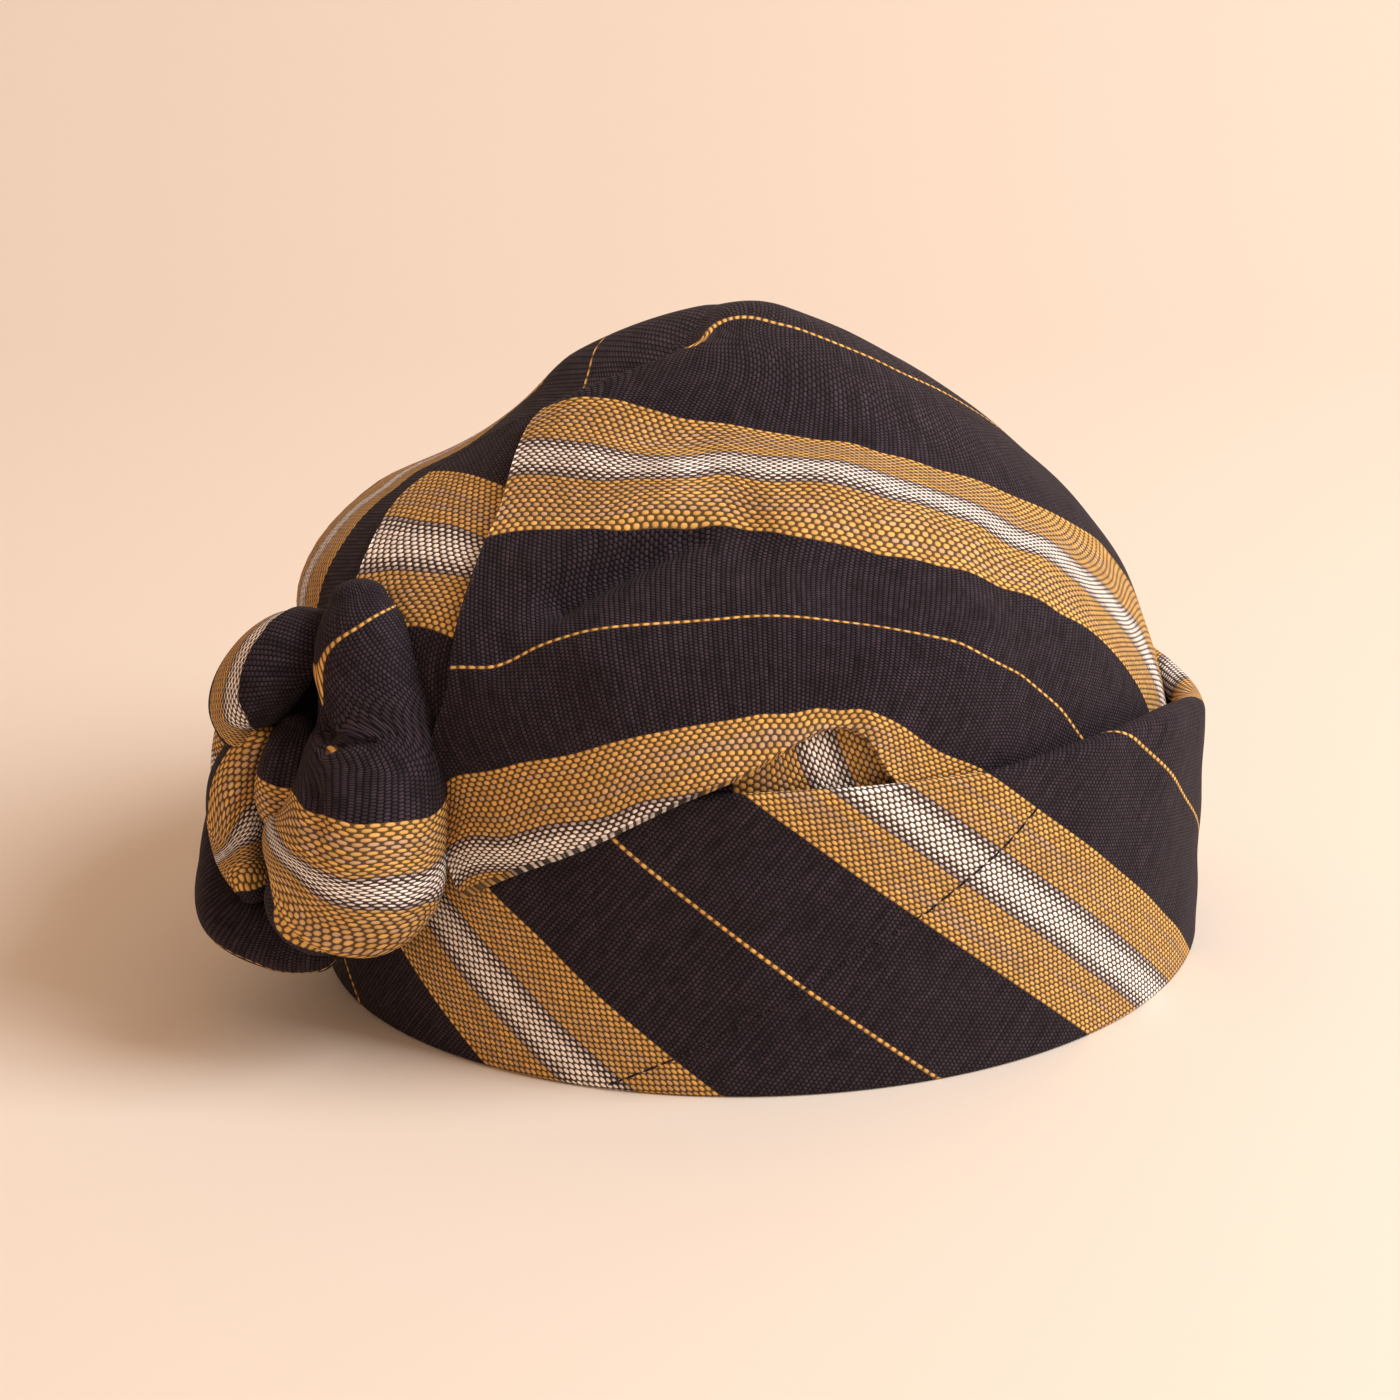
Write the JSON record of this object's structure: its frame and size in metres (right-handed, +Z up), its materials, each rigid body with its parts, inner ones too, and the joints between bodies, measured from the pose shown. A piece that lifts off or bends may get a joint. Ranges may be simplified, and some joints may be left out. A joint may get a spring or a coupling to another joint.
{
  "type": "knotted wrap cap",
  "caption": "Soft domed cap of striped woven cloth, wrapped over the crown, with a wide turned-up bias band round the rim and a large knot at the back.",
  "frame": {"origin": "centre of the rim, on the surface that the cap rests on", "axes": "+Z up through the crown, +Y towards the knot at the back, -Y to the front, -X to the wearer's right"},
  "size_m": [0.186, 0.241, 0.149],
  "materials": {
    "crown_cloth": "plain woven cotton, black with a gold, grey and white stripe group",
    "band_cloth": "plain woven cotton, stripe groups of gold, grey and white on black, cut on the bias",
    "wrap_cloth": "plain woven cotton, stripe groups of gold, grey and white on black",
    "pleat_cloth": "plain woven cotton, one stripe group of gold, grey and white across the fold",
    "tuck_cloth": "plain woven cotton, gold and white stripes",
    "knot_cloth": "plain woven cotton, black with gold, grey and white stripe groups"
  },
  "bodies": {
    "root": {"crown": "crown_cloth", "band": "band_cloth", "wrap": "wrap_cloth", "back_pleat": "pleat_cloth", "tuck_right": "tuck_cloth", "tuck_left": "tuck_cloth", "knot_lobe": "knot_cloth", "knot_loop": "knot_cloth", "knot_inner": "knot_cloth", "knot_turn": "knot_cloth", "knot_tail": "knot_cloth", "knot_far_lobe": "knot_cloth"}
  },
  "joints": []
}
